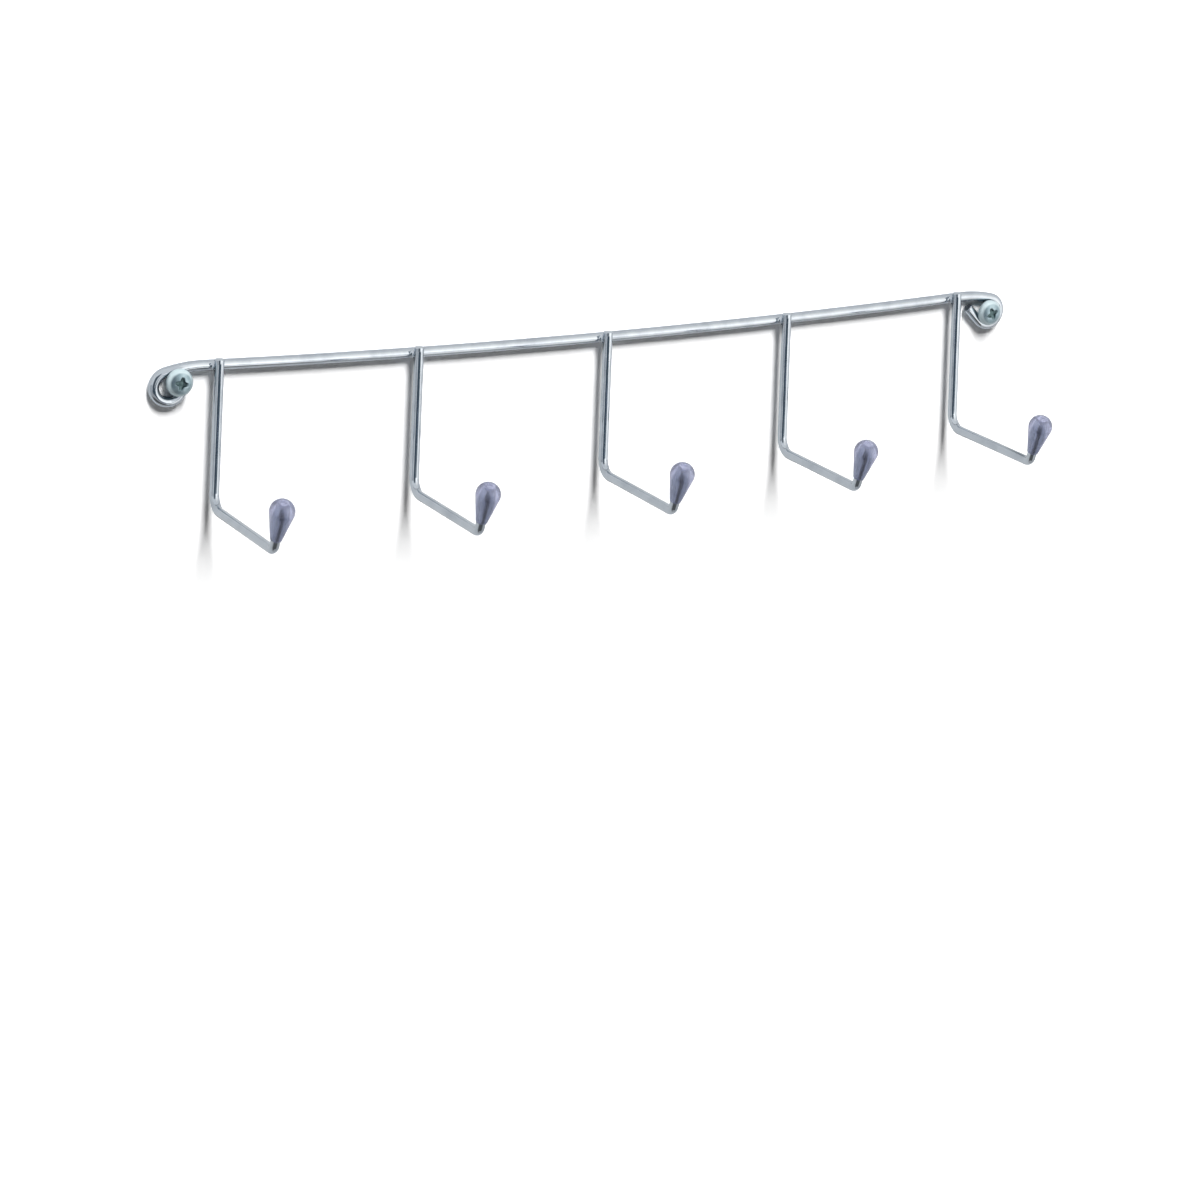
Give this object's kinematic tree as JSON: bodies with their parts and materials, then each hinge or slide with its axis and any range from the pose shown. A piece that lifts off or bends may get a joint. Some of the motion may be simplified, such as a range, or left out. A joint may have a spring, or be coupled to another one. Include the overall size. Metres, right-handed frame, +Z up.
{
  "type": "belt rack",
  "caption": "Chromed wire wall rack for belts: a rail with a screwed eye at each end, welded L-shaped hooks and a soft teardrop cap on each hook's tip.",
  "frame": {"origin": "on the wall plane, midway between the centres of the rail's two eyes", "axes": "+X along the rail to the right as seen from the room, +Y into the wall, +Z up; the wall is the plane Y = 0 and the hooks reach out along -Y"},
  "size_m": [0.302, 0.0804, 0.0498],
  "materials": {
    "chrome_wire": "bright chrome plate on drawn steel wire",
    "zinc_screw": "blue-passivated bright zinc plate",
    "vinyl_cap": "soft glossy vinyl, smoky lavender, slightly see-through"
  },
  "bodies": {
    "root": {"rail": "chrome_wire", "hook_1": "chrome_wire", "hook_2": "chrome_wire", "hook_3": "chrome_wire", "hook_4": "chrome_wire", "hook_5": "chrome_wire", "tip_cap_1": "vinyl_cap", "tip_cap_2": "vinyl_cap", "tip_cap_3": "vinyl_cap", "tip_cap_4": "vinyl_cap", "tip_cap_5": "vinyl_cap", "screw_left": "zinc_screw", "screw_right": "zinc_screw"}
  },
  "joints": []
}
